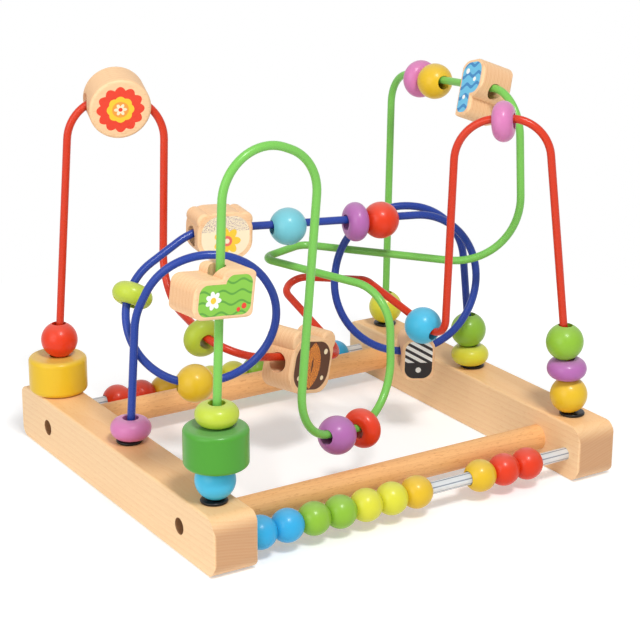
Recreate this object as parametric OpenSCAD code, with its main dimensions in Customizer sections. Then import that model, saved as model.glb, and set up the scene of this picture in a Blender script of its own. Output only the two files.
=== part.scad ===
// Bead maze: two beech blocks joined by dowels and counting rods, three bent
// wires and fifty beads. X runs along the dowels, Y is the depth with the
// front at -Y, Z is up from the floor, and the origin is midway across the whole.

/* [Base blocks] */
// Clear distance between the two blocks
block_gap = 230; // [215:1:260]
// Width of a block along the dowels
block_w = 28; // [26:1:34]
// Length of a block from front to rear
block_l = 260; // [250:1:290]
// Height of a block
block_h = 36; // [34:1:44]
// Rounding of the block corners seen from the side
corner_r = 10; // [4:0.5:12]
// Easing of the long block edges
edge_r = 1.5; // [0.5:0.25:3]

/* [Dowels and rods] */
// Diameter of the two wooden dowels
dowel_d = 16; // [13:0.5:18]
// Distance of a dowel axis from the block end
dowel_inset = 41; // [39:1:48]
// Depth of the dowel socket
dowel_seat = 6; // [4:0.5:7]
// Diameter of the two counting rods
rod_d = 8; // [6:0.25:8.5]
// Distance of a rod axis from the block end
rod_inset = 13.5; // [12:0.5:16]
// Height of the rod axes
rod_z = 16; // [14:0.5:18]
// Depth of the rod socket
rod_seat = 10; // [6:0.5:14]

/* [Screws] */
// Diameter of the screw holes seen on the outer faces
screw_hole_d = 10; // [9.5:0.25:12]
// Depth of the screw holes down to the head seat
screw_hole_depth = 15; // [12:0.5:16]
// Diameter of a screw head
screw_head_d = 8.5; // [7:0.25:9]
// Height of a screw head
screw_head_h = 3; // [2:0.25:4]
// Diameter of a screw shank
screw_d = 4; // [3:0.25:5]
// Length of a screw shank
screw_l = 28; // [22:1:40]

/* [Grommets] */
// Diameter of a grommet flange
grommet_d = 16; // [14:0.5:20]
// Height of a grommet flange
grommet_h = 2; // [1.6:0.1:2.6]
// Diameter of the grommet sleeve in the block
sleeve_d = 10; // [9:0.25:12]
// Depth of the grommet sleeve
sleeve_h = 6; // [4:0.5:8]

/* [Wires] */
// Diameter of the coated wires
wire_d = 5; // [4.5:0.1:5.4]
// Depth of a wire end below the block top
wire_seat = 10; // [8:0.5:14]
// Distance of the outer wire feet from the block end
foot_inset = 25; // [23:0.5:30]
// Height of the wire arches above the block top
wire_rise = 200; // [190:1:230]

/* [Round beads] */
// Diameter of the ball beads
ball_d = 23.5; // [22:0.25:24]
// Diameter of the disc beads
disc_d = 25; // [23:0.25:25.5]
// Thickness of the disc beads
disc_t = 13; // [11.5:0.25:13.5]
// Diameter of the drum beads
drum_d = 37.5; // [34:0.5:39]
// Height of the drum beads
drum_h = 23.5; // [21:0.5:25]
// Rounding of the drum rims
drum_rim = 3; // [1:0.25:4]
// Play of the ball bores on the wire
ball_play = 4; // [3.4:0.1:5]
// Play of the disc and drum bores on the wire
disc_play = 5; // [4.4:0.1:6]

/* [Counting beads] */
// Diameter of the counting beads
count_d = 20; // [18:0.25:20.2]
// Play of the counting beads on the rod
count_play = 1; // [0.6:0.1:2]

/* [Animal beads] */
// Thickness of the animal beads from face to back
animal_t = 24; // [20:0.5:26]
// Play of the animal bores on the wire
animal_play = 8; // [7.6:0.1:9]
// Rounding of the animal bead rims
animal_rim = 2; // [1:0.25:3]
// Diameter of the lion bead
lion_d = 39; // [36:0.5:42]
// Width of the bear bead
bear_w = 40; // [36:0.5:42]
// Height of the bear bead without ears
bear_h = 36; // [32:0.5:38]
// Width of the monkey bead
monkey_w = 36; // [32:0.5:38]
// Height of the monkey bead without ears
monkey_h = 30; // [27:0.5:33]
// Width of the crocodile bead
crocodile_w = 41; // [38:0.5:44]
// Height of the crocodile bead at the eyes
crocodile_h = 27.5; // [25:0.5:30]
// Width of the elephant bead
elephant_w = 24; // [22:0.5:27]
// Height of the elephant bead
elephant_h = 37.5; // [34:0.5:41]
// Width of the zebra bead
zebra_w = 21.5; // [20:0.5:24]
// Height of the zebra bead
zebra_h = 29.5; // [27:0.5:32]

/* [Hidden] */
$fa = 4;
$fs = 0.4;
fit = 0.1;
lap = 0.2;
skin = 0.01;
nest_gap = 0.3;
foot_gap = 0.4;
crown_room = 0.5;
ear_step = 0.8;
overhang_share = 0.187;
frame_shift = crocodile_w * overhang_share / 2;
wire_x = (block_gap + block_w) / 2;
wire_y = block_l / 2 - foot_inset;
foot_z = block_h - wire_seat;
dowel_y = block_l / 2 - dowel_inset;
dowel_z = block_h / 2;
rod_y = block_l / 2 - rod_inset;
ball_bore = wire_d + ball_play;
disc_bore = wire_d + disc_play;
animal_bore = wire_d + animal_play;
count_bore = rod_d + count_play;
lion_turn = 10;
crocodile_lean = 5;
elephant_lean = 12;
zebra_lean = 9;
hollow_d = grommet_d + ball_play;
hollow_h = grommet_h + foot_gap;

wood = [0.95, 0.8, 0.6];
black = [0.05, 0.05, 0.05];
steel = [0.7, 0.7, 0.72];
clear = [0.85, 0.9, 0.92];
red = [0.93, 0.26, 0.14];
orange = [0.97, 0.63, 0.17];
yellow = [0.93, 0.87, 0.2];
lime = [0.76, 0.86, 0.28];
green = [0.42, 0.73, 0.28];
sky = [0.38, 0.78, 0.92];
cobalt = [0.22, 0.3, 0.68];
purple = [0.71, 0.42, 0.74];
pink = [0.92, 0.47, 0.72];

// Corners of each wire as shares of the half width, the half depth and the rise
red_shares = [
  [-0.9, 0.92, 0.96], [-0.49, 0.67, 0.965], [-0.54, 0.63, 0.33], [-0.57, -0.21, 0.25],
  [0.25, 0.11, 0.11], [0.17, 0.63, 0.26], [0.26, 0.74, 0.29], [0.45, 0.23, 0.33],
  [0.53, -0.48, 0.22], [0.545, -0.51, 0.93], [0.84, -0.9, 0.95]
];
green_shares = [
  [-0.93, -1, 1.065], [-0.46, -0.99, 0.94], [-0.52, -0.9, 0.1], [0.17, -0.57, 0.01],
  [0.19, -0.5, 0.42], [-0.07, 0.42, 0.43], [0.2, 0.5, 0.44], [0.99, -0.48, 0.41],
  [0.95, -0.46, 0.98], [1, 0.96, 0.92]
];
blue_shares = [
  [-0.96, -0.02, 0.4], [-0.75, -0.36, 0.84], [-0.14, -0.35, 0.205], [-1.87, 0.25, 0.115],
  [-0.545, 0.21, 0.595], [1.18, -0.17, 0.555], [0.75, -0.15, 0.12], [0.18, 0.19, 0.095],
  [0.325, 0.25, 0.6], [0.905, 0.02, 0.555]
];

// Bend radii as shares of one bend unit that shrinks with the smallest span
red_bend_shares = [0.7, 0.65, 0.85, 0.6, 0.325, 0.2, 0.225, 0.45, 0.25, 0.7, 0.6];
green_bend_shares = [0.725, 0.725, 0.9, 0.9, 0.7, 0.2, 0.3, 1.1, 0.65, 0.6];
blue_bend_shares = [1, 1, 1.025, 1.025, 1.05, 1.1, 1.15, 1.15, 1.15, 1.05];
span_shares = [0.31, 0.381, 0.2];
bend_unit = min(wire_x * span_shares.x, wire_y * span_shares.y, wire_rise * span_shares.z);

// Places of the loose beads as shares of their straight or bend
lion_share = 0.66;
lane_disc_share = 1;
bear_share = 0.52;
lane_ball_share = 0.87;
crocodile_share = 0.738;
dip_ball_share = 0.32;
dip_disc_share = 0.14;
elephant_share = 0.1;
top_ball_share = 0.68;
loop_ball_share = 0.06;
loop_disc_share = 0.78;
monkey_share = 0.03;
strand_ball_share = 0.36;
strand_pair_share = 0.82;
zebra_share = 0.93;

function unit(v) = v / norm(v);
function heading(p, i) = unit(p[i + 1] - p[i]);
function turn(p, i) = acos(heading(p, i - 1) * heading(p, i));
function ends(p, i) = i == 0 || i == len(p) - 1;
function reach(p, r, i) = ends(p, i) ? 0 : r[i] * tan(turn(p, i) / 2);
function inward(p, i) = unit(heading(p, i) - (heading(p, i - 1) * heading(p, i)) * heading(p, i - 1));
function hub(p, r, i) = p[i] - heading(p, i - 1) * reach(p, r, i) + inward(p, i) * r[i];
function run_l(p, r, i) = norm(p[i + 1] - p[i]) - reach(p, r, i) - reach(p, r, i + 1);
function foot(sx, sy) = [sx * wire_x, sy * wire_y, foot_z];
function corners(s) = [for (c = s) [c.x * wire_x, c.y * wire_y, block_h + c.z * wire_rise]];
function radii(s) = concat([0], [for (c = s) c * bend_unit], [0]);

red_path = concat([foot(-1, 1)], corners(red_shares), [foot(1, -1)]);
green_path = concat([foot(-1, -1)], corners(green_shares), [foot(1, 1)]);
blue_path = concat([foot(-1, 0)], corners(blue_shares), [foot(1, 0)]);
red_radii = radii(red_bend_shares);
green_radii = radii(green_bend_shares);
blue_radii = radii(blue_bend_shares);
left_feet = [[red_path, 0], [green_path, 0], [blue_path, 0]];
right_feet = [[red_path, 1], [green_path, 1], [blue_path, 1]];

// A spot is a point on a wire with the direction of the wire there
function run_spot(p, r, i, s) = [p[i] + heading(p, i) * (reach(p, r, i) + s), heading(p, i)];
function bend_spot(p, r, i, a, out) = [
  hub(p, r, i) + (r[i] + out) * (heading(p, i - 1) * sin(a) - inward(p, i) * cos(a)),
  heading(p, i - 1) * cos(a) + inward(p, i) * sin(a)
];
function bow(r, half) = r - sqrt(r * r - half * half);
function foot_point(f) = f[1] == 0 ? f[0][0] : f[0][len(f[0]) - 1];
function foot_heading(f) = f[1] == 0 ? heading(f[0], 0) : -heading(f[0], len(f[0]) - 2);
function leg_spot(f, h) = [foot_point(f) + foot_heading(f) * ((wire_seat + h) / foot_heading(f).z), [0, 0, 1]];
function mid_run(p, r, i) = run_spot(p, r, i, run_l(p, r, i) / 2);
function hang(bore) = (bore - wire_d) / 2 - nest_gap;

// Half lengths of the round beads along their bore and how they nest
function ball_on(bore) = sqrt(pow(ball_d / 2, 2) - pow(bore / 2, 2));
function ball_half() = ball_on(ball_bore);
function rim_r() = (disc_d - disc_t) / 2;
function ball_on_disc() = sqrt(pow((ball_d + disc_t) / 2, 2) - pow(rim_r(), 2)) + nest_gap;
function ball_on_drum() = ball_on(disc_bore) + drum_h / 2 + nest_gap;
function drum_on_ball() = ball_on_drum() - hollow_h;
function disc_on_drum() = (disc_t + drum_h) / 2 + nest_gap;
function count_half() = sqrt(pow(count_d / 2, 2) - pow(count_bore / 2, 2));
ball_up = grommet_h + foot_gap + ball_half();
disc_up = grommet_h + foot_gap + disc_t / 2;
drum_up = foot_gap + drum_h / 2;

red_leg = left_feet[0];
green_leg = left_feet[1];
blue_leg = left_feet[2];
red_post = right_feet[0];
green_post = right_feet[1];
blue_post = right_feet[2];

// Counting beads: a long pack, a free stretch and a short pack on each rod
count_pitch = 2 * count_half() + count_play / 8;
front_pack = 7;
rear_pack = 8;
count_last = 9;
front_gap_share = 0.58;
rear_start_share = 0.52;
rear_gap_share = 0.24;
count_free = block_gap - (count_last + 1) * count_pitch;
front_colors = [sky, sky, green, green, yellow, yellow, orange, orange, red, red];
rear_colors = [red, red, orange, orange, yellow, yellow, green, green, sky, sky];

function frame(x, y, z, o) = [[x.x, y.x, z.x, o.x], [x.y, y.y, z.y, o.y], [x.z, y.z, z.z, o.z], [0, 0, 0, 1]];
function level(v) = abs(v.z) < 0.9 ? [0, 0, 1] : [1, 0, 0];
function side_of(v) = unit(cross(level(v), v));
function back_of(spot, face) = unit((face * spot[1]) * spot[1] - face);
function right_of(spot, face) = cross(spot[1], back_of(spot, face)).z < 0 ? -spot[1] : spot[1];

module along(spot) {
  multmatrix(frame(side_of(spot[1]), cross(spot[1], side_of(spot[1])), spot[1], spot[0])) children();
}

module across(spot, face) {
  back = back_of(spot, face);
  right = right_of(spot, face);
  multmatrix(frame(right, back, cross(right, back), spot[0])) children();
}

module upright(spot, face) {
  back = back_of(spot, face);
  multmatrix(frame(cross(back, spot[1]), back, spot[1], spot[0])) children();
}

module lowered(bore, room = 0) {
  translate([0, 0, room - hang(bore)]) children();
}

module rounded_square(w, h, r) {
  translate([r - w / 2, -h / 2]) square([w - 2 * r, h]);
  translate([-w / 2, r - h / 2]) square([w, h - 2 * r]);
  for (sx = [-1, 1]) {
    for (sy = [-1, 1]) {
      translate([sx * (w / 2 - r), sy * (h / 2 - r)]) circle(r = r);
    }
  }
}

// Slab with its outline in XZ, its thickness along Y and soft rims
module tablet(w, h, t, r, rim) {
  intersection() {
    rotate([90, 0, 0]) translate([0, 0, -t / 2]) linear_extrude(t) rounded_square(w, h, r);
    translate([0, 0, -h / 2]) linear_extrude(h) rounded_square(w, t, rim);
    rotate([90, 0, 90]) translate([0, 0, -w / 2]) linear_extrude(w) rounded_square(t, h, rim);
  }
}

// Round tablet about Y with a soft rim
module pebble(d, t, rim) {
  rotate([90, 0, 0]) rotate_extrude() {
    translate([0, -t / 2]) square([d / 2 - rim, t]);
    translate([0, rim - t / 2]) square([d / 2, t - 2 * rim]);
    for (s = [-1, 1]) {
      translate([d / 2 - rim, s * (t / 2 - rim)]) circle(r = rim);
    }
  }
}

module bore_z(d, l) {
  translate([0, 0, -l]) cylinder(h = 2 * l, d = d);
}

module bore_x(d, l) {
  rotate([0, 90, 0]) bore_z(d, l);
}

module bent_wire(p, r, d) {
  last = len(p) - 2;
  for (i = [0 : last]) {
    back = i == 0 ? 0 : lap;
    ahead = i == last ? 0 : lap;
    along(run_spot(p, r, i, -back)) cylinder(h = run_l(p, r, i) + back + ahead, d = d - 2 * skin);
  }
  for (i = [1 : last]) {
    u = heading(p, i - 1);
    n = inward(p, i);
    multmatrix(frame(-n, u, cross(u, n), hub(p, r, i)))
      rotate_extrude(angle = turn(p, i)) translate([r[i], 0]) circle(d = d);
  }
}

module base_block(side, feet) {
  inner = side * block_gap / 2;
  outer = side * (block_gap / 2 + block_w);
  difference() {
    translate([side * wire_x, 0, block_h / 2]) intersection() {
      rotate([90, 0, 90]) translate([0, 0, -block_w / 2]) linear_extrude(block_w)
        rounded_square(block_l, block_h, corner_r);
      translate([0, 0, -block_h / 2]) linear_extrude(block_h) rounded_square(block_w, block_l, edge_r);
      rotate([90, 0, 0]) translate([0, 0, -block_l / 2]) linear_extrude(block_l)
        rounded_square(block_w, block_h, edge_r);
    }
    for (sy = [-1, 1]) {
      translate([inner, sy * dowel_y, dowel_z]) bore_x(dowel_d + fit, dowel_seat);
      translate([outer, sy * dowel_y, dowel_z]) bore_x(screw_hole_d, screw_hole_depth);
      translate([outer, sy * dowel_y, dowel_z]) bore_x(screw_d + fit, block_w);
      translate([inner, sy * rod_y, rod_z]) bore_x(rod_d + fit, rod_seat);
    }
    for (f = feet) {
      translate([foot_point(f).x, foot_point(f).y, block_h]) bore_z(sleeve_d + fit, sleeve_h);
      along([foot_point(f), foot_heading(f)]) cylinder(h = 2 * wire_seat, d = wire_d + fit);
    }
  }
}

module left_block() {
  color(wood) base_block(-1, left_feet);
}

module right_block() {
  color(wood) base_block(1, right_feet);
}

module dowel() {
  half = block_gap / 2 + dowel_seat;
  difference() {
    rotate([0, 90, 0]) translate([0, 0, -half]) cylinder(h = 2 * half, d = dowel_d);
    for (s = [-1, 1]) {
      translate([s * half, 0, 0]) bore_x(screw_d + fit, screw_l);
    }
  }
}

module front_dowel() {
  color(wood) translate([0, -dowel_y, dowel_z]) dowel();
}

module rear_dowel() {
  color(wood) translate([0, dowel_y, dowel_z]) dowel();
}

module counting_rods() {
  half = block_gap / 2 + rod_seat;
  color(clear) for (sy = [-1, 1]) {
    translate([0, sy * rod_y, rod_z]) rotate([0, 90, 0]) translate([0, 0, -half])
      cylinder(h = 2 * half, d = rod_d);
  }
}

module screw() {
  slot_w = screw_d / 4;
  slot_l = screw_head_d * 0.6;
  slot_depth = screw_head_h / 2;
  difference() {
    union() {
      cylinder(h = screw_l, d = screw_d);
      translate([0, 0, -screw_head_h]) cylinder(h = screw_head_h, d = screw_head_d);
    }
    for (a = [0, 90]) {
      rotate([0, 0, a]) translate([-slot_l / 2, -slot_w / 2, -screw_head_h - lap])
        cube([slot_l, slot_w, slot_depth + lap]);
    }
  }
}

module dowel_screws() {
  seat = block_gap / 2 + block_w - screw_hole_depth;
  color(steel) for (sx = [-1, 1]) {
    for (sy = [-1, 1]) {
      translate([sx * seat, sy * dowel_y, dowel_z]) rotate([0, -sx * 90, 0]) screw();
    }
  }
}

module grommet(f) {
  difference() {
    translate([foot_point(f).x, foot_point(f).y, block_h]) {
      rotate_extrude() {
        translate([0, -sleeve_h]) square([sleeve_d / 2, sleeve_h + grommet_h]);
        square([(grommet_d - grommet_h) / 2, grommet_h]);
        translate([(grommet_d - grommet_h) / 2, grommet_h / 2]) circle(d = grommet_h);
      }
    }
    along([foot_point(f), foot_heading(f)]) cylinder(h = 2 * wire_seat, d = wire_d + fit);
  }
}

module wire_grommets() {
  color(black) for (f = concat(left_feet, right_feet)) {
    grommet(f);
  }
}

module red_wire() {
  color(red) bent_wire(red_path, red_radii, wire_d);
}

module green_wire() {
  color(green) bent_wire(green_path, green_radii, wire_d);
}

module blue_wire() {
  color(cobalt) bent_wire(blue_path, blue_radii, wire_d);
}

module ball() {
  difference() {
    sphere(d = ball_d);
    bore_z(ball_bore, ball_d);
  }
}

module disc() {
  difference() {
    rotate_extrude() {
      translate([0, -disc_t / 2]) square([rim_r(), disc_t]);
      intersection() {
        translate([rim_r(), 0]) circle(d = disc_t);
        translate([0, -disc_t / 2]) square([disc_d / 2, disc_t]);
      }
    }
    bore_z(disc_bore, disc_d);
  }
}

// Round drum with a hollow below that swallows a grommet or the top of a ball
module drum() {
  difference() {
    rotate([90, 0, 0]) pebble(drum_d, drum_h, drum_rim);
    bore_z(disc_bore, drum_h);
    translate([0, 0, -drum_h / 2]) bore_z(hollow_d, hollow_h);
  }
}

module count_bead(tone, x, y) {
  color(tone) translate([x, y, rod_z]) rotate([0, 90, 0]) difference() {
    sphere(d = count_d);
    bore_z(count_bore, count_d);
  }
}

module front_bead(i) {
  gap = i < front_pack ? 0 : count_free * front_gap_share;
  count_bead(front_colors[i], count_pitch * (i + 0.5) - block_gap / 2 + gap, -rod_y);
}

module rear_bead(i) {
  gap = count_free * (i < rear_pack ? rear_start_share : rear_start_share + rear_gap_share);
  count_bead(rear_colors[i], count_pitch * (i + 0.5) - block_gap / 2 + gap, rod_y);
}

// Animal beads bored left to right: X along the wire, Y to the back, Z up
module lion() {
  difference() {
    rotate([0, 0, lion_turn]) pebble(lion_d, animal_t, animal_rim);
    bore_x(animal_bore, lion_d);
  }
}

module bear() {
  head_r = bear_h * 0.36;
  ear_d = bear_w * 0.36;
  ear_x = bear_w / 2 - ear_d * 0.42;
  ear_z = bear_h / 2 - ear_d * 0.2;
  difference() {
    union() {
      tablet(bear_w, bear_h, animal_t, head_r, animal_rim);
      for (s = [-1, 1]) {
        translate([s * ear_x, 0, ear_z]) pebble(ear_d, animal_t - ear_step, animal_rim);
      }
    }
    bore_x(animal_bore, bear_w);
  }
}

module monkey() {
  head_r = monkey_h * 0.44;
  ear_d = monkey_w * 0.28;
  ear_x = monkey_w / 2 - ear_d * 0.5;
  ear_z = monkey_h / 2 - ear_d * 0.55;
  lift = monkey_h * 0.05;
  difference() {
    translate([0, 0, lift]) {
      tablet(monkey_w, monkey_h, animal_t, head_r, animal_rim);
      for (s = [-1, 1]) {
        translate([s * ear_x, 0, ear_z]) pebble(ear_d, animal_t - ear_step, animal_rim);
      }
    }
    bore_x(animal_bore, monkey_w);
  }
}

module elephant() {
  head_h = elephant_h * 0.68;
  head_r = elephant_w * 0.42;
  trunk_w = elephant_w * 0.62;
  trunk_h = elephant_h * 0.5;
  trunk_r = elephant_w * 0.24;
  bore_drop = elephant_h * 0.465;
  difference() {
    rotate([0, -elephant_lean, 0]) {
      translate([0, 0, bore_drop - head_h / 2]) tablet(elephant_w, head_h, animal_t, head_r, animal_rim);
      translate([(trunk_w - elephant_w) / 2, 0, bore_drop - elephant_h + trunk_h / 2])
        tablet(trunk_w, trunk_h, animal_t, trunk_r, animal_rim);
    }
    bore_x(disc_bore, elephant_w);
  }
}

module zebra() {
  head_r = zebra_w * 0.38;
  drop = zebra_h * 0.02;
  difference() {
    rotate([0, zebra_lean, 0]) translate([0, 0, -drop]) tablet(zebra_w, zebra_h, animal_t, head_r, animal_rim);
    bore_x(animal_bore, zebra_w);
  }
}

// Bored from top to bottom: X to the right, Y to the back, Z along the wire
module crocodile() {
  snout_h = crocodile_h * 0.81;
  snout_r = crocodile_h * 0.28;
  brow_w = crocodile_w * 0.56;
  brow_r = crocodile_h * 0.22;
  bore_side = crocodile_w * 0.065;
  difference() {
    rotate([0, crocodile_lean, 0]) translate([-bore_side, 0, 0]) {
      translate([0, 0, (snout_h - crocodile_h) / 2]) tablet(crocodile_w, snout_h, animal_t, snout_r, animal_rim);
      translate([(crocodile_w - brow_w) / 2, 0, 0]) tablet(brow_w, crocodile_h, animal_t, brow_r, animal_rim);
    }
    bore_z(disc_bore, crocodile_h);
  }
}

// Beads of the red wire
module yellow_drum() {
  color(yellow) along(leg_spot(red_leg, drum_up)) drum();
}

module red_leg_ball() {
  color(red) along(leg_spot(red_leg, drum_up + ball_on_drum())) ball();
}

module lion_bead() {
  color(wood) lowered(animal_bore, crown_room)
    across(run_spot(red_path, red_radii, 1, run_l(red_path, red_radii, 1) * lion_share), [-0.44, -0.885, -0.2]) lion();
}

module lime_lane_disc() {
  color(lime) lowered(disc_bore)
    along(run_spot(red_path, red_radii, 3, run_l(red_path, red_radii, 3) * lane_disc_share)) disc();
}

module bear_bead() {
  color(wood) lowered(animal_bore)
    across(run_spot(red_path, red_radii, 4, run_l(red_path, red_radii, 4) * bear_share), [0.3, -0.95, 0]) bear();
}

module sky_lane_ball() {
  color(sky) lowered(ball_bore, crown_room)
    along(run_spot(red_path, red_radii, 8, run_l(red_path, red_radii, 8) * lane_ball_share)) ball();
}

module pink_crown_disc() {
  color(pink) lowered(disc_bore, crown_room) along(mid_run(red_path, red_radii, 10)) disc();
}

module orange_post_ball() {
  color(orange) along(leg_spot(red_post, ball_up)) ball();
}

module purple_post_disc() {
  color(purple) along(leg_spot(red_post, ball_up + ball_on_disc())) disc();
}

module green_post_ball() {
  color(green) along(leg_spot(red_post, ball_up + 2 * ball_on_disc())) ball();
}

// Beads of the green wire
module sky_leg_ball() {
  color(sky) along(leg_spot(green_leg, ball_up)) ball();
}

module green_drum() {
  color(green) along(leg_spot(green_leg, ball_up + drum_on_ball())) drum();
}

module lime_leg_disc() {
  color(lime) along(leg_spot(green_leg, ball_up + drum_on_ball() + disc_on_drum())) disc();
}

module crocodile_bead() {
  color(wood)
    upright(run_spot(green_path, green_radii, 0, run_l(green_path, green_radii, 0) * crocodile_share), [0.12, -0.99, 0])
    translate([-hang(disc_bore), 0, 0]) crocodile();
}

module purple_dip_ball() {
  color(purple) lowered(ball_bore)
    along(run_spot(green_path, green_radii, 3, run_l(green_path, green_radii, 3) * dip_ball_share)) ball();
}

module red_dip_disc() {
  out = hang(disc_bore) - bow(green_radii[4], disc_t / 2);
  color(red) along(bend_spot(green_path, green_radii, 4, turn(green_path, 4) * dip_disc_share, out)) disc();
}

module elephant_bead() {
  color(wood) lowered(disc_bore)
    across(run_spot(green_path, green_radii, 9, run_l(green_path, green_radii, 9) * elephant_share), [-1, 0, 0.4])
    elephant();
}

module yellow_top_ball() {
  color(yellow) lowered(ball_bore)
    along(run_spot(green_path, green_radii, 9, run_l(green_path, green_radii, 9) * top_ball_share)) ball();
}

module pink_top_disc() {
  color(pink) lowered(ball_bore)
    along(run_spot(green_path, green_radii, 9, run_l(green_path, green_radii, 9) * top_ball_share + ball_on_disc()))
    disc();
}

module yellow_corner_ball() {
  color(yellow) along(leg_spot(green_post, ball_up)) ball();
}

// Beads of the blue wire
module pink_leg_disc() {
  color(pink) along(leg_spot(blue_leg, disc_up)) disc();
}

module orange_loop_ball() {
  out = hang(ball_bore) - bow(blue_radii[4], ball_half());
  color(orange) along(bend_spot(blue_path, blue_radii, 4, turn(blue_path, 4) * loop_ball_share, out)) ball();
}

module lime_loop_disc() {
  out = -hang(disc_bore);
  color(lime) along(bend_spot(blue_path, blue_radii, 4, turn(blue_path, 4) * loop_disc_share, out)) disc();
}

module monkey_bead() {
  color(wood) lowered(animal_bore)
    across(run_spot(blue_path, blue_radii, 5, run_l(blue_path, blue_radii, 5) * monkey_share), [-0.13, -0.99, 0])
    monkey();
}

module sky_strand_ball() {
  color(sky) lowered(ball_bore)
    along(run_spot(blue_path, blue_radii, 5, run_l(blue_path, blue_radii, 5) * strand_ball_share)) ball();
}

module purple_strand_disc() {
  color(purple) lowered(ball_bore)
    along(run_spot(blue_path, blue_radii, 5, run_l(blue_path, blue_radii, 5) * strand_pair_share - ball_on_disc()))
    disc();
}

module red_strand_ball() {
  color(red) lowered(ball_bore)
    along(run_spot(blue_path, blue_radii, 5, run_l(blue_path, blue_radii, 5) * strand_pair_share)) ball();
}

module zebra_bead() {
  half = zebra_w / 2 / cos(zebra_lean) + animal_bore / 2 * tan(zebra_lean);
  out = hang(animal_bore) - bow(blue_radii[7], half);
  color(wood)
    across(bend_spot(blue_path, blue_radii, 7, turn(blue_path, 7) * zebra_share, out), [-0.44, -0.9, 0]) zebra();
}

module yellow_post_disc() {
  color(yellow) along(leg_spot(blue_post, disc_up)) disc();
}

module green_disc_ball() {
  color(green) along(leg_spot(blue_post, disc_up + ball_on_disc())) ball();
}

// The crocodile bead overhangs the left block, so the origin sits midway across the whole
module centred() {
  translate([frame_shift, 0, 0]) children();
}

centred() left_block();
centred() right_block();
centred() front_dowel();
centred() rear_dowel();
centred() counting_rods();
centred() dowel_screws();
centred() wire_grommets();
centred() red_wire();
centred() green_wire();
centred() blue_wire();
centred() yellow_drum();
centred() red_leg_ball();
centred() lion_bead();
centred() lime_lane_disc();
centred() bear_bead();
centred() sky_lane_ball();
centred() pink_crown_disc();
centred() orange_post_ball();
centred() purple_post_disc();
centred() green_post_ball();
centred() sky_leg_ball();
centred() green_drum();
centred() lime_leg_disc();
centred() crocodile_bead();
centred() purple_dip_ball();
centred() red_dip_disc();
centred() elephant_bead();
centred() yellow_top_ball();
centred() pink_top_disc();
centred() yellow_corner_ball();
centred() pink_leg_disc();
centred() orange_loop_ball();
centred() lime_loop_disc();
centred() monkey_bead();
centred() sky_strand_ball();
centred() purple_strand_disc();
centred() red_strand_ball();
centred() zebra_bead();
centred() yellow_post_disc();
centred() green_disc_ball();
for (i = [0 : count_last]) {
  centred() front_bead(i);
}
for (i = [0 : count_last]) {
  centred() rear_bead(i);
}
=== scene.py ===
import math

import bpy
from mathutils import Matrix, Vector


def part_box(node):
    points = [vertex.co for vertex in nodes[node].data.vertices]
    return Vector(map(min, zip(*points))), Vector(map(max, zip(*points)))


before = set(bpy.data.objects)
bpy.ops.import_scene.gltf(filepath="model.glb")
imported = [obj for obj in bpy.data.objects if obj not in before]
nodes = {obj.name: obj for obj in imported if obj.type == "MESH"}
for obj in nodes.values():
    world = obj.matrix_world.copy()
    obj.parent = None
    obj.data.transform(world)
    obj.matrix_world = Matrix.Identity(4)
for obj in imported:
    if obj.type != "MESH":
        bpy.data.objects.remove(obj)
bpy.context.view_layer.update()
print("frame:", len(nodes), "pieces")

noiseMiddle = 0.5  # what a noise is on average
skyward = (0, 0, 1)
shaderSockets = {"specular": "Specular IOR Level", "coat": "Coat Weight", "coatRoughness": "Coat Roughness",
                 "metallic": "Metallic", "ior": "IOR", "clearShare": "Transmission Weight"}  # same all over


def paint(red, green, blue):  # screen colour 0-255 to linear
    def channel(c):
        c = c / 255
        return c / 12.92 if c <= 0.04045 else ((c + 0.055) / 1.055) ** 2.4
    return (channel(red), channel(green), channel(blue), 1.0)


def deeper(tone, share):  # the same colour, darker
    return tuple(c * share for c in tone[:3]) + (1,)


class Val:  # a socket that can be used in sums
    def __init__(self, graph, socket):
        self.graph, self.socket = graph, socket

    def __add__(self, other):
        return self.graph.sum("ADD", self, other)

    def __radd__(self, other):
        return self.graph.sum("ADD", other, self)

    def __sub__(self, other):
        return self.graph.sum("SUBTRACT", self, other)

    def __rsub__(self, other):
        return self.graph.sum("SUBTRACT", other, self)

    def __mul__(self, other):
        return self.graph.sum("MULTIPLY", self, other)

    def __rmul__(self, other):
        return self.graph.sum("MULTIPLY", other, self)

    def __truediv__(self, other):
        return self.graph.sum("DIVIDE", self, other)

    def __rtruediv__(self, other):
        return self.graph.sum("DIVIDE", other, self)

    def __pow__(self, other):
        return self.graph.sum("POWER", self, other)

    def __gt__(self, other):
        return self.graph.sum("GREATER_THAN", self, other)

    def __lt__(self, other):
        return self.graph.sum("LESS_THAN", self, other)

    def __abs__(self):
        return self.graph.sum("ABSOLUTE", self)


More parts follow.
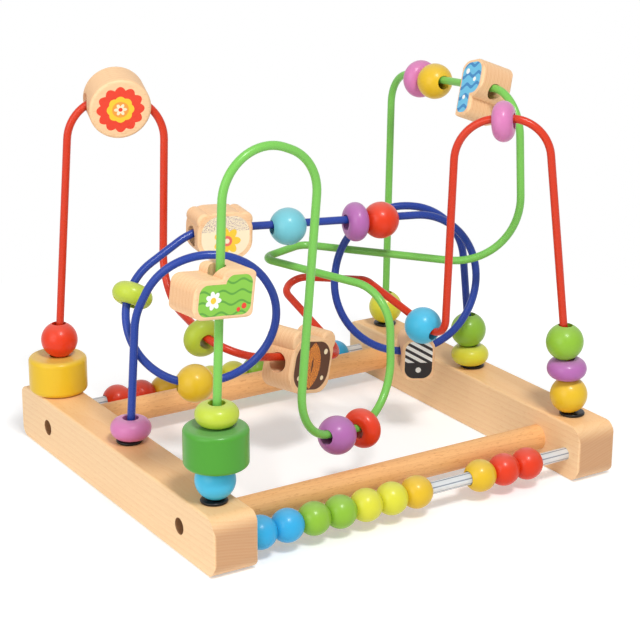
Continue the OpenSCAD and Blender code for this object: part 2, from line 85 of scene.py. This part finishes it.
class Graph:  # node tree of one finish
    def __init__(self, owner):
        owner.use_nodes = True
        self.tree = owner.node_tree
        self.tree.nodes.clear()

    def node(self, kind, settings=None, sockets=None, out=0):
        made = self.tree.nodes.new(kind)
        for key, value in (settings or {}).items():
            setattr(made, key, value)
        for key, value in (sockets or {}).items():
            if isinstance(value, Val):
                self.tree.links.new(value.socket, made.inputs[key])
            else:
                made.inputs[key].default_value = value
        return Val(self, made.outputs[out]) if made.outputs else None

    def sum(self, operation, *values):
        return self.node("ShaderNodeMath", {"operation": operation}, dict(enumerate(values)))

    def clamp(self, value):
        return self.node("ShaderNodeMath", {"operation": "ADD", "use_clamp": True}, {0: value, 1: 0.0})

    def most(self, first, second):
        return self.sum("MAXIMUM", first, second)

    def repeat(self, value):  # 0 to 1, over and over
        return self.sum("FRACT", value)

    def place(self):  # metres, and it moves with the piece
        return self.node("ShaderNodeTexCoord", out="Object")

    def facing(self, axis):  # how far the surface looks along an axis
        return self.share(self.node("ShaderNodeTexCoord", out="Normal"), axis)

    def upward(self, edge):  # 1 where the surface looks up
        return self.clamp(self.facing(skyward)) ** edge

    def share(self, place, axis):  # distance along an axis
        return self.node("ShaderNodeVectorMath", {"operation": "DOT_PRODUCT"}, {0: place, 1: tuple(axis)}, 1)

    def stretch(self, place, scale):
        return self.node("ShaderNodeVectorMath", {"operation": "MULTIPLY"}, {0: place, 1: scale})

    def vector(self, x, y, z):
        return self.node("ShaderNodeCombineXYZ", {}, {0: x, 1: y, 2: z})

    def noise(self, vector, scale=1.0, detail=2.0):
        return self.node("ShaderNodeTexNoise", {}, {"Vector": vector, "Scale": scale, "Detail": detail})

    def blend(self, share, first, second):
        return self.node("ShaderNodeMix", {"data_type": "RGBA"}, {0: share, 6: first, 7: second}, 2)

    def bump(self, height, look):
        return self.node("ShaderNodeBump", {}, {
            "Height": height, "Strength": look["bump"], "Distance": look["bumpDepth"]})

    def polish(self, look, tone, rough, height):  # closes the finish of a piece
        sockets = {shaderSockets[key]: look[key] for key in shaderSockets if key in look}
        sockets.update({"Base Color": tone, "Roughness": rough, "Normal": self.bump(height, look)})
        self.close(self.node("ShaderNodeBsdfPrincipled", {}, sockets))

    def close(self, shader, kind="ShaderNodeOutputMaterial"):
        self.node(kind, {}, {"Surface": shader})


def newFinish(name):
    material = bpy.data.materials.new(name)
    return material, Graph(material)


def dress(name, material):
    slots = nodes[name].data.materials
    slots.clear()
    slots.append(material)


# camera at the photograph's angle, image taken as 640 x 640
cameraSet = {"target": (0.01643, 0.0084, 0.0865), "distance": 1.2, "azimuth": -32.35, "elevation": 18.36,
             "roll": 0.225, "lens": 105.65, "sensor": 36.0, "nearest": 0.05, "farthest": 20}


def makeCamera(look):
    turn, lift = math.radians(look["azimuth"]), math.radians(look["elevation"])
    back = Vector((math.sin(turn) * math.cos(lift), -math.cos(turn) * math.cos(lift), math.sin(lift)))
    right = Vector(skyward).cross(back).normalized()
    spot = Vector(look["target"]) + back * look["distance"]
    data = bpy.data.cameras.new("camera")
    data.lens, data.sensor_width = look["lens"], look["sensor"]
    data.clip_start, data.clip_end = look["nearest"], look["farthest"]
    camera = bpy.data.objects.new("camera", data)
    bpy.context.scene.collection.objects.link(camera)
    upright = Matrix((right, back.cross(right), back)).transposed().to_4x4()
    roll = Matrix.Rotation(math.radians(look["roll"]), 4, "Z")
    camera.matrix_world = Matrix.Translation(spot) @ upright @ roll
    bpy.context.scene.camera = camera


makeCamera(cameraSet)
bpy.context.scene.view_settings.view_transform = "Standard"
print("camera set")

# soft studio: a small key lamp high in front and a broad lamp on the left
lampSet = {
    "keySoftbox": {"spot": (-0.22, -1.03, 1.56), "aim": (0, 0, 0.1), "size": 0.34, "watts": 19},
    "leftSoftbox": {"spot": (-1.6, -0.5, 0.7), "aim": (0, 0, 0.1), "size": 1.3, "watts": 12},
}
studioSet = {"sky": 0.36, "white": 1.0, "floorSize": 8.0, "floorTone": 0.97, "nearGlow": 1.9,
             "shadowShare": 0.85, "shadowReach": 0.45, "shadowFade": 3}


def makeLamps(lamps):
    for name, look in lamps.items():
        data = bpy.data.lights.new(name, "AREA")
        data.size, data.energy = look["size"], look["watts"]
        lamp = bpy.data.objects.new(name, data)
        bpy.context.scene.collection.objects.link(lamp)
        lamp.location = look["spot"]
        aim = Vector(look["aim"]) - Vector(look["spot"])
        lamp.rotation_euler = aim.to_track_quat("-Z", "Y").to_euler()


def seenDirectly(graph):  # camera, mirror and glass rays
    def ray(out):
        return graph.node("ShaderNodeLightPath", out=out)
    return graph.clamp(ray("Is Camera Ray") + ray("Is Glossy Ray") + ray("Is Transmission Ray"))


def makeSky(look):  # lights softly, but is seen as white
    world = bpy.data.worlds.new("studio")
    bpy.context.scene.world = world
    graph = Graph(world)
    lit, white = [graph.node("ShaderNodeBackground", {}, {"Color": (1, 1, 1, 1), "Strength": look[key]})
                  for key in ("sky", "white")]
    seen = graph.node("ShaderNodeMixShader", {}, {0: seenDirectly(graph), 1: lit, 2: white})
    graph.close(seen, "ShaderNodeOutputWorld")


def floorFinish(look):  # white far away, and keeps the shadow near the toy
    material, graph = newFinish("floor_white")
    matt = graph.node("ShaderNodeBsdfDiffuse", {}, {"Color": (look["floorTone"],) * 3 + (1,)})
    away = graph.node("ShaderNodeVectorMath", {"operation": "LENGTH"}, {0: graph.place()}, 1)
    near = graph.clamp(1 - (away / look["shadowReach"]) ** look["shadowFade"])
    level = look["white"] + near * (look["nearGlow"] - look["white"])
    glow = graph.node("ShaderNodeEmission", {}, {"Color": graph.vector(level, level, level), "Strength": 1.0})
    share = seenDirectly(graph) * (1 - near * look["shadowShare"])
    graph.close(graph.node("ShaderNodeMixShader", {}, {0: share, 1: matt, 2: glow}))
    return material


def makeFloor(look):
    half = look["floorSize"] / 2
    corners = [(-half, -half, 0), (half, -half, 0), (half, half, 0), (-half, half, 0)]
    mesh = bpy.data.meshes.new("floor")
    mesh.from_pydata(corners, [], [(0, 1, 2, 3)])
    mesh.materials.append(floorFinish(look))
    floor = bpy.data.objects.new("floor", mesh)
    bpy.context.scene.collection.objects.link(floor)


makeLamps(lampSet)
makeSky(studioSet)
makeFloor(studioSet)
print("studio lit")

# beech: rings across, fibres along, short darker flecks, end grain, and painted shade on the block tops and
# in the screw holes
beechSet = {
    "light": (249, 212, 163), "dark": (228, 170, 114),
    "ringGap": 0.0042, "ringEdge": 3, "ringShare": 0.22, "drift": 2.4, "driftScale": (5, 30, 30),
    "fibreScale": (45, 1500, 1500), "fibreDetail": 3, "fibreMiddle": 0.35, "fibreShare": 0.4,
    "fleckScale": (260, 2300, 900), "fleckDetail": 1, "fleckLimit": 0.64, "fleckShare": 0.25,
    "end": (188, 134, 92), "endTone": 0.7, "endEdge": 4, "endGap": 0.42, "endDrift": 1.2, "endShare": 0.6,
    "top": (252, 186, 112), "topShadeShare": 0.4, "topEdge": 3,  # painted shade: the tops of the blocks turned deeper orange, for the lesser light on them
    # painted shade: darker brown for the walls of the screw holes
    "holeShade": (164, 120, 82), "holeRadius": 0.00506,
    "roughness": 0.48, "roughSpread": 0.12, "coat": 0.12, "coatRoughness": 0.25,
    "bump": 0.12, "bumpDepth": 0.0002,
}
dowelSet = dict(beechSet, light=(246, 188, 124), dark=(212, 140, 80), endTone=0.2, fleckShare=0.5)
beechPieces = {  # finish, length of the wood and direction across its rings
    "left_block": (beechSet, (0, 1, 0), (0.16, 0.01, 1)),
    "right_block": (beechSet, (0, 1, 0), (-0.3, 0.015, 1)),
    "front_dowel": (dowelSet, (1, 0, 0), (0.02, 0.4, 1)),
    "rear_dowel": (dowelSet, (1, 0, 0), (0.01, -0.5, 1)),
}


def beechColour(graph, look, lengthAxis, ringAxis):
    place = graph.place()
    lengthAxis, ringAxis = Vector(lengthAxis).normalized(), Vector(ringAxis).normalized()
    length, rise = graph.share(place, lengthAxis), graph.share(place, ringAxis)
    side = graph.share(place, lengthAxis.cross(ringAxis))

    def grain(scale, detail=2.0):  # noise drawn out along the wood
        return graph.noise(graph.vector(length * scale[0], rise * scale[1], side * scale[2]), detail=detail)

    drift = grain(look["driftScale"])
    ring = graph.repeat(rise / look["ringGap"] + drift * look["drift"]) ** look["ringEdge"]
    fibre = grain(look["fibreScale"], look["fibreDetail"])
    fleck = grain(look["fleckScale"], look["fleckDetail"]) > look["fleckLimit"]
    ends = abs(graph.facing(lengthAxis)) ** look["endEdge"]
    lines = graph.repeat(rise / (look["ringGap"] * look["endGap"]) + drift * look["endDrift"])
    dark = graph.clamp(ring * look["ringShare"] + (fibre - look["fibreMiddle"]) * look["fibreShare"]
                       + fleck * look["fleckShare"] * (1 - ends) + lines * ends * look["endShare"])
    tone = graph.blend(dark, paint(*look["light"]), paint(*look["dark"]))
    return graph.blend(ends * look["endTone"], tone, paint(*look["end"])), fibre


def screwHoles(graph, look):  # walls of the holes in line with the dowels, where painted shade goes
    place, inside = graph.place(), 0.0
    for dowel in ("front_dowel", "rear_dowel"):
        low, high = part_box(dowel)
        dy = graph.share(place, (0, 1, 0)) - (low[1] + high[1]) / 2
        dz = graph.share(place, skyward) - (low[2] + high[2]) / 2
        inside = inside + ((dy * dy + dz * dz) < look["holeRadius"] ** 2)
    return graph.clamp(inside)


def beechFinish(name, look, lengthAxis, ringAxis):
    material, graph = newFinish("beech_" + name)
    tone, fibre = beechColour(graph, look, lengthAxis, ringAxis)
    if name.endswith("block"):
        # painted shade: faces looking up blended toward the deeper top colour
        tone = graph.blend(graph.upward(look["topEdge"]) * look["topShadeShare"], tone, paint(*look["top"]))
        # painted shade: the screw hole walls turned darker brown
        tone = graph.blend(screwHoles(graph, look), tone, paint(*look["holeShade"]))
    graph.polish(look, tone, look["roughness"] + fibre * look["roughSpread"], fibre)
    return material


for name, wood in beechPieces.items():
    dress(name, beechFinish(name, *wood))
print("beech done")

# satin paint on turned wood: faint fibres show through, and a painted sheen lies on faces looking up
paintSet = {
    "fibreScale": 900, "fibreDetail": 3, "mottleScale": 70, "mottle": 0.1, "deep": 0.82,
    # painted sheen: a pale grey tint for faces looking up
    "paintedSheen": (206, 212, 206), "paintedSheenShare": 0.12, "paintedSheenEdge": 3,
    "roughness": 0.33, "roughSpread": 0.12, "specular": 0.25, "coat": 0.1, "coatRoughness": 0.12,
    "bump": 0.05, "bumpDepth": 0.0002,
}
paintColours = {
    "red": (228, 58, 22), "orange": (230, 188, 38), "yellow": (222, 219, 60), "lime": (190, 208, 62),
    "green": (142, 190, 54), "leaf": (76, 156, 46), "sky": (72, 192, 232), "azure": (50, 172, 226),
    "purple": (180, 106, 174), "pink": (212, 124, 178), "aqua": (116, 198, 212),
}
ownPaints = {"green_drum": "leaf", "yellow_drum": "orange", "yellow_top_ball": "orange",
             "sky_strand_ball": "aqua"}  # other beads are named for their paint
countColours = ["azure", "azure", "green", "green", "yellow", "yellow", "orange", "orange", "red", "red"]


def paintFinish(name, colour, look):
    material, graph = newFinish("paint_" + name)
    place, tone = graph.place(), paint(*colour)
    fibre = graph.noise(place, look["fibreScale"], look["fibreDetail"])
    mottle = graph.noise(place, look["mottleScale"])
    mottled = graph.blend(mottle * look["mottle"] + fibre * look["mottle"], tone, deeper(tone, look["deep"]))
    # painted sheen: faces looking up blended toward pale grey
    paintedSheen = graph.upward(look["paintedSheenEdge"]) * look["paintedSheenShare"]
    graph.polish(look, graph.blend(paintedSheen, mottled, paint(*look["paintedSheen"])),
                 look["roughness"] + (fibre - noiseMiddle) * look["roughSpread"], fibre)
    return material


paints = {name: paintFinish(name, colour, paintSet) for name, colour in paintColours.items()}
for name in nodes:
    first, last = name.split("_")[0], name.split("_")[-1]
    if first in ("front", "rear") and "bead" in name:
        row = countColours if first == "front" else countColours[::-1]
        dress(name, paints[row[int(last) - 1]])
    elif first in paints and last != "wire":
        dress(name, paints[ownPaints.get(name, first)])
print("beads painted")

# plastic-coated wire, glossy with a slight waviness of the coating
wireSet = {
    "colours": {"red": (212, 56, 26), "green": (123, 197, 87), "blue": (38, 66, 156)},
    "deep": 0.85, "deepShare": 0.35, "waveScale": 160, "gritScale": 1800,
    "roughness": 0.28, "roughSpread": 0.1, "specular": 0.25, "coat": 0.12, "coatRoughness": 0.1,
    "bump": 0.06, "bumpDepth": 0.0006,
}


def wireFinish(name, colour, look):
    material, graph = newFinish("coating_" + name)
    place, tone = graph.place(), paint(*colour)
    wave, grit = graph.noise(place, look["waveScale"]), graph.noise(place, look["gritScale"])
    graph.polish(look, graph.blend(wave * look["deepShare"], tone, deeper(tone, look["deep"])),
                 look["roughness"] + (grit - noiseMiddle) * look["roughSpread"], wave)
    return material


for name, colour in wireSet["colours"].items():
    dress(name + "_wire", wireFinish(name, colour, wireSet))
print("wires coated")

# black grommets and steel screws, both with a fine grit
grommetSet = {"main": (9, 8, 9), "grit": (18, 17, 18), "gritScale": 1500, "roughness": 0.3,
              "roughSpread": 0.12, "specular": 0.3, "bump": 0.04, "bumpDepth": 0.0002}
screwSet = {"main": (190, 190, 194), "grit": (140, 140, 146), "gritScale": 2600, "roughness": 0.28,
            "roughSpread": 0.15, "metallic": 1.0, "bump": 0.1, "bumpDepth": 0.0001}
# clear rods with painted reflection: long grey streaks set by the angle round the rod
rodSet = {"clear": (247, 251, 252), "paintedStreak": (126, 138, 158), "streakShare": 0.8, "streaksPerRadian": 1.1,
          "streakWidth": 0.2, "streakDrift": 0.2, "drawnScale": (4, 700, 700), "roughness": 0.1,
          "roughSpread": 0.1, "ior": 1.49, "clearShare": 0.35, "bump": 0.08, "bumpDepth": 0.0004}


def grittyFinish(name, look):
    material, graph = newFinish(name)
    grit = graph.noise(graph.place(), look["gritScale"])
    tone = graph.blend(grit, paint(*look["main"]), paint(*look["grit"]))
    graph.polish(look, tone, look["roughness"] + grit * look["roughSpread"], grit)
    return material


def rodFinish(look):
    material, graph = newFinish("rod_clear")
    drawn = graph.noise(graph.stretch(graph.place(), look["drawnScale"]))
    turn = graph.sum("ARCTAN2", graph.facing(skyward), graph.facing((0, 1, 0)))
    # painted reflection: grey streaks by the angle of the surface round the rod
    paintedStreak = graph.repeat(turn * look["streaksPerRadian"] + drawn * look["streakDrift"]) < look["streakWidth"]
    tone = graph.blend(paintedStreak * look["streakShare"], paint(*look["clear"]), paint(*look["paintedStreak"]))
    graph.polish(look, tone, look["roughness"] + drawn * look["roughSpread"], drawn)
    return material


dress("wire_grommets", grittyFinish("grommet_black", grommetSet))
dress("dowel_screws", grittyFinish("screw_steel", screwSet))
dress("counting_rods", rodFinish(rodSet))
print("small parts done")

# printed beads: bare beech with a generic motif on the front, sizes in mm
printBeech = dict(beechSet, light=(250, 209, 162), dark=(228, 168, 116), ringGap=0.003, ringShare=0.26,
                  fibreShare=0.5, endTone=0.15, roughness=0.55, coat=0.05)
frontSet = {"facing": 0.8, "depth": 0.004, "flatness": 0.999, "inkDepth": 0.0003, "inkGloss": 0.2,
            "unit": 1000}
motifSet = {"bandStart": 100, "speckScale": 1.6, "speckDetail": 1}
inks = {"red": paint(238, 62, 36), "yellow": paint(250, 206, 50), "orange": paint(246, 160, 60),
        "cream": paint(252, 236, 200), "white": paint(250, 250, 246), "brown": paint(84, 46, 30),
        "rust": paint(150, 52, 38), "green": paint(136, 202, 66), "moss": paint(92, 164, 54),
        "lilac": paint(170, 140, 150), "coral": paint(238, 110, 92), "sky": paint(104, 190, 226),
        "deep": paint(52, 132, 190), "ink": paint(28, 26, 30)}


class Motif:  # flat shapes on the front of a bead
    def __init__(self, graph, across, up, look):
        self.graph, self.across, self.up, self.look = graph, across, up, look

    def disc(self, x, y, r):
        dx, dy = self.across - x, self.up - y
        return (dx * dx + dy * dy) < r * r

    def panel(self, x, y, wide, tall, r):
        dx = self.graph.most(abs(self.across - x) - (wide / 2 - r), 0.0)
        dy = self.graph.most(abs(self.up - y) - (tall / 2 - r), 0.0)
        return (dx * dx + dy * dy) < r * r

    def petals(self, x, y, r, lobe, count):
        dx, dy = self.across - x, self.up - y
        turn = self.graph.sum("ARCTAN2", dy, dx)
        edge = r + lobe * abs(self.graph.sum("COSINE", turn * (count / 2)))
        return ((dx * dx + dy * dy) ** 0.5) < edge

    def leaf(self, x, y, r, lean):  # where two discs cross
        return self.disc(x - lean, y, r) * self.disc(x + lean, y, r)

    def bands(self, rise, gap, share):
        return self.graph.repeat((rise + self.look["bandStart"]) / gap) < share

    def waves(self, gap, share, height, length):
        swell = self.graph.sum("SINE", self.across * (2 * math.pi / length)) * height
        return self.bands(self.up + swell, gap, share)

    def slant(self, gap, share, lean):
        return self.bands(self.up + self.across * lean, gap, share)

    def speckle(self, limit):
        spot = self.graph.vector(self.across, self.up, 0.0)
        return self.graph.noise(spot, self.look["speckScale"], self.look["speckDetail"]) > limit


def sunMotif(m):
    return [(m.petals(0, 0, 12.8, 2.2, 12), "red"), (m.petals(0, 0, 7.6, 1.0, 8), "yellow"),
            (m.disc(0, 0, 5.2), "orange"), (m.petals(0, 0, 1.9, 2.1, 6), "cream"), (m.disc(0, 0, 1.3), "red")]


def acornMotif(m):
    field, leaf = m.panel(0, -1, 34, 31, 12), m.leaf(0, -1, 18, 10)
    return [(field, "brown"), (field * leaf, "orange"), (field * leaf * m.speckle(0.52), "rust"),
            (m.leaf(0, -1, 18, 17.2), "brown"), (m.disc(-11.5, 8, 1.8) + m.disc(11.5, 8, 1.8), "cream"),
            (m.disc(-11.5, -9, 1.5) + m.disc(11.5, -9, 1.5), "cream")]


def pondMotif(m):
    field = m.graph.most(m.panel(-1.2, -1.6, 35, 17.5, 5.5), m.panel(7.6, 0.8, 18, 22.5, 5.5))
    return [(field, "green"), (field * m.waves(6, 0.2, 1.1, 13), "moss"),
            (m.petals(-9, -1.6, 3.4, 1.9, 7), "white"), (m.disc(-9, -1.6, 1.8), "yellow"),
            (m.disc(12, -5.6, 1.7) + m.disc(8.4, -7.4, 1.3), "red")]


def blossomMotif(m):
    field = m.panel(0, 0, 31, 25, 11)
    top = field * (m.up > 3)
    return [(field, "cream"), (top * m.speckle(0.55), "lilac"), (m.petals(1, -3, 5.6, 3.2, 7), "yellow"),
            (m.disc(1, -3, 3.3), "coral"), (m.disc(1, -3, 1.6), "cream")]


def waterMotif(m):
    field = m.graph.most(m.panel(1, 4.3, 19, 20.5, 7), m.panel(-3.5, -8.5, 10.5, 19, 4))
    return [(field, "sky"), (field * m.waves(7, 0.32, 1.2, 10), "deep"), (m.disc(-3.6, 9, 1.8), "white"),
            (m.disc(4.6, 3, 1.5), "white"), (m.disc(-3.6, -8, 1.4), "white")]


def stripeMotif(m):
    field = m.panel(0, 0, 18, 25.5, 6.5)
    return [(field, "white"), (field * m.slant(4.6, 0.46, 0.55) * (m.up > -2), "ink"),
            (field * (m.up < -2), "ink"), (m.disc(0, -7, 1.8), "white")]


printSet = {
    "lion_bead": {"face": (-0.27, -0.94, -0.19), "tilt": 1, "motif": sunMotif},
    "bear_bead": {"face": (0.3, -0.95, 0), "tilt": -14.2, "motif": acornMotif},
    "crocodile_bead": {"face": (0.12, -0.99, 0), "tilt": -7.3, "motif": pondMotif},
    "monkey_bead": {"face": (-0.13, -0.99, 0), "tilt": -2, "motif": blossomMotif},
    "elephant_bead": {"face": (-0.93, 0.07, 0.37), "tilt": 16.9, "motif": waterMotif},
    "zebra_bead": {"face": (-0.44, -0.9, 0), "tilt": -1.6, "motif": stripeMotif},
}


def frontFrame(name, look, front):  # centre, right, up and normal of the flat front
    want = Vector(look["face"]).normalized()
    faces = nodes[name].data.polygons
    limit = max(f.center.dot(want) for f in faces) - front["depth"]
    near = [f for f in faces if f.normal.dot(want) > front["facing"] and f.center.dot(want) > limit]
    normal = sum((f.normal * f.area for f in near), Vector()).normalized()
    flat = [f for f in near if f.normal.dot(normal) > front["flatness"]]
    centre = sum((f.center * f.area for f in flat), Vector()) / sum(f.area for f in flat)
    level = Vector(skyward).cross(normal).normalized()
    right = Matrix.Rotation(math.radians(look["tilt"]), 3, normal) @ level
    return centre, right, normal.cross(right), normal


def printFinish(name, look, beech, front):
    centre, right, upward, normal = frontFrame(name, look, front)
    material, graph = newFinish("printed_" + name)
    tone, fibre = beechColour(graph, beech, right, normal)
    place = graph.place()
    across, up, out = [graph.share(place, axis) - centre.dot(axis) for axis in (right, upward, normal)]
    printed = out > -front["inkDepth"]
    motif, inked = Motif(graph, across * front["unit"], up * front["unit"], motifSet), 0.0
    for shape, ink in look["motif"](motif):
        mask = graph.clamp(shape) * printed
        tone = graph.blend(mask, tone, inks[ink])
        inked = graph.most(inked, mask)
    rough = beech["roughness"] + fibre * beech["roughSpread"] - inked * front["inkGloss"]
    graph.polish(beech, tone, rough, fibre)
    return material


for name, look in printSet.items():
    dress(name, printFinish(name, look, printBeech, frontSet))
print("printed beads done")
